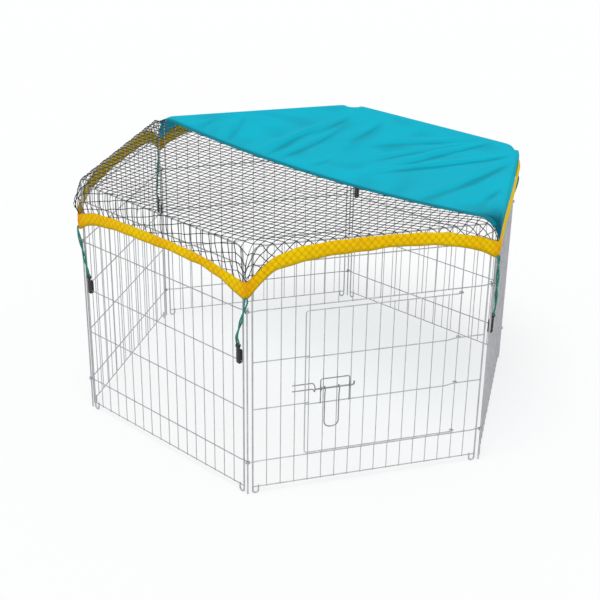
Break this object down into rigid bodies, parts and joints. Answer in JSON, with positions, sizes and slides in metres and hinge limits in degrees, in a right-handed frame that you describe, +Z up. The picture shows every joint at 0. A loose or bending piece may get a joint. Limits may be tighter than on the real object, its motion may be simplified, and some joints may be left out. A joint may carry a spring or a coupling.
{
  "type": "outdoor rabbit run",
  "caption": "Hexagonal wire run for small pets, open to the ground, with a bolted door and a net and sunshade cover held down by elastic loops and hooks; its panels fold on corner pins.",
  "frame": {"origin": "middle of the footprint, on the ground", "axes": "+Z up, the panel with the door facing -Y, +X to the right as seen from the door side, through two opposite corners"},
  "size_m": [1.2332, 1.08, 0.6483],
  "materials": {
    "galvanised_wire": "galvanised, satin",
    "latch_steel": "galvanised, satin",
    "net": "knotted black cord",
    "sunshade_cloth": "woven, matte",
    "hem_tape": "woven tape, matte",
    "elastic": "braided",
    "hook_plastic": "moulded"
  },
  "bodies": {
    "front_panel": {"front_panel_sill": "galvanised_wire", "front_panel_lintel": "galvanised_wire", "front_panel_left_jamb": "galvanised_wire", "front_panel_right_jamb": "galvanised_wire", "keeper": "latch_steel", "pin_front_left": "galvanised_wire", "pin_front_right": "galvanised_wire", "cover_net": "net", "sunshade": "sunshade_cloth", "cover_hem": "hem_tape"},
    "front_right_panel": {"front_right_panel": "galvanised_wire", "pin_right": "galvanised_wire", "hook_front_right": "hook_plastic", "elastic_front_right": "elastic"},
    "back_right_panel": {"back_right_panel": "galvanised_wire", "pin_back_right": "galvanised_wire", "hook_right": "hook_plastic", "elastic_right": "elastic", "hook_back_right": "hook_plastic", "elastic_back_right": "elastic"},
    "back_panel": {"back_panel": "galvanised_wire"},
    "front_left_panel": {"front_left_panel": "galvanised_wire", "pin_left": "galvanised_wire", "hook_front_left": "hook_plastic", "elastic_front_left": "elastic", "hook_left": "hook_plastic", "elastic_left": "elastic"},
    "back_left_panel": {"back_left_panel": "galvanised_wire", "pin_back_left": "galvanised_wire", "hook_back_left": "hook_plastic", "elastic_back_left": "elastic"},
    "door": {"door": "galvanised_wire", "door_loop_bottom": "galvanised_wire", "door_loop_lower": "galvanised_wire", "door_loop_upper": "galvanised_wire", "door_loop_top": "galvanised_wire", "latch_bracket": "latch_steel"},
    "latch_bolt": {"latch_bolt": "latch_steel"},
    "latch_handle": {"latch_handle": "latch_steel"}
  },
  "joints": [
    {"name": "fold", "type": "hinge", "parent": "front_panel", "child": "front_right_panel", "pos_m": [0.3025, -0.52006, 0], "axis": [0, 0, 1], "range_deg": [0, 90], "deforming": ["cover_net", "sunshade", "cover_hem", "elastic_front_left", "elastic_front_right", "elastic_right", "elastic_back_right", "elastic_back_left", "elastic_left"]},
    {"name": "right_corner", "type": "hinge", "parent": "front_right_panel", "child": "back_right_panel", "pos_m": [0.605, 0.00389, 0], "axis": [0, 0, 1], "range_deg": [-90, 0]},
    {"name": "back_right_corner", "type": "hinge", "parent": "back_right_panel", "child": "back_panel", "pos_m": [0.3025, 0.52783, 0], "axis": [0, 0, 1], "range_deg": [0, 90]},
    {"name": "front_left_corner", "type": "hinge", "parent": "front_panel", "child": "front_left_panel", "pos_m": [-0.3025, -0.52006, 0], "axis": [0, 0, 1], "range_deg": [0, 90]},
    {"name": "left_corner", "type": "hinge", "parent": "front_left_panel", "child": "back_left_panel", "pos_m": [-0.605, 0.00389, 0], "axis": [0, 0, 1], "range_deg": [-90, 0]},
    {"name": "door_hinge", "type": "hinge", "parent": "front_panel", "child": "door", "pos_m": [0.2218, -0.5201, 0.089], "axis": [0, 0, 1], "range_deg": [0, 135]},
    {"name": "bolt_slide", "type": "slide", "parent": "door", "child": "latch_bolt", "axis": [1, 0, 0], "range_m": [-0.006, 0.012]},
    {"name": "handle_swing", "type": "hinge", "parent": "latch_bolt", "child": "latch_handle", "pos_m": [-0.1176, -0.5333, 0.2725], "axis": [-1, 0, 0], "range_deg": [0, 110]}
  ],
  "couplings": [
    {"joint": "right_corner", "follows": "fold", "ratio": -1},
    {"joint": "back_right_corner", "follows": "fold", "ratio": 1},
    {"joint": "front_left_corner", "follows": "fold", "ratio": 1},
    {"joint": "left_corner", "follows": "fold", "ratio": -1}
  ]
}
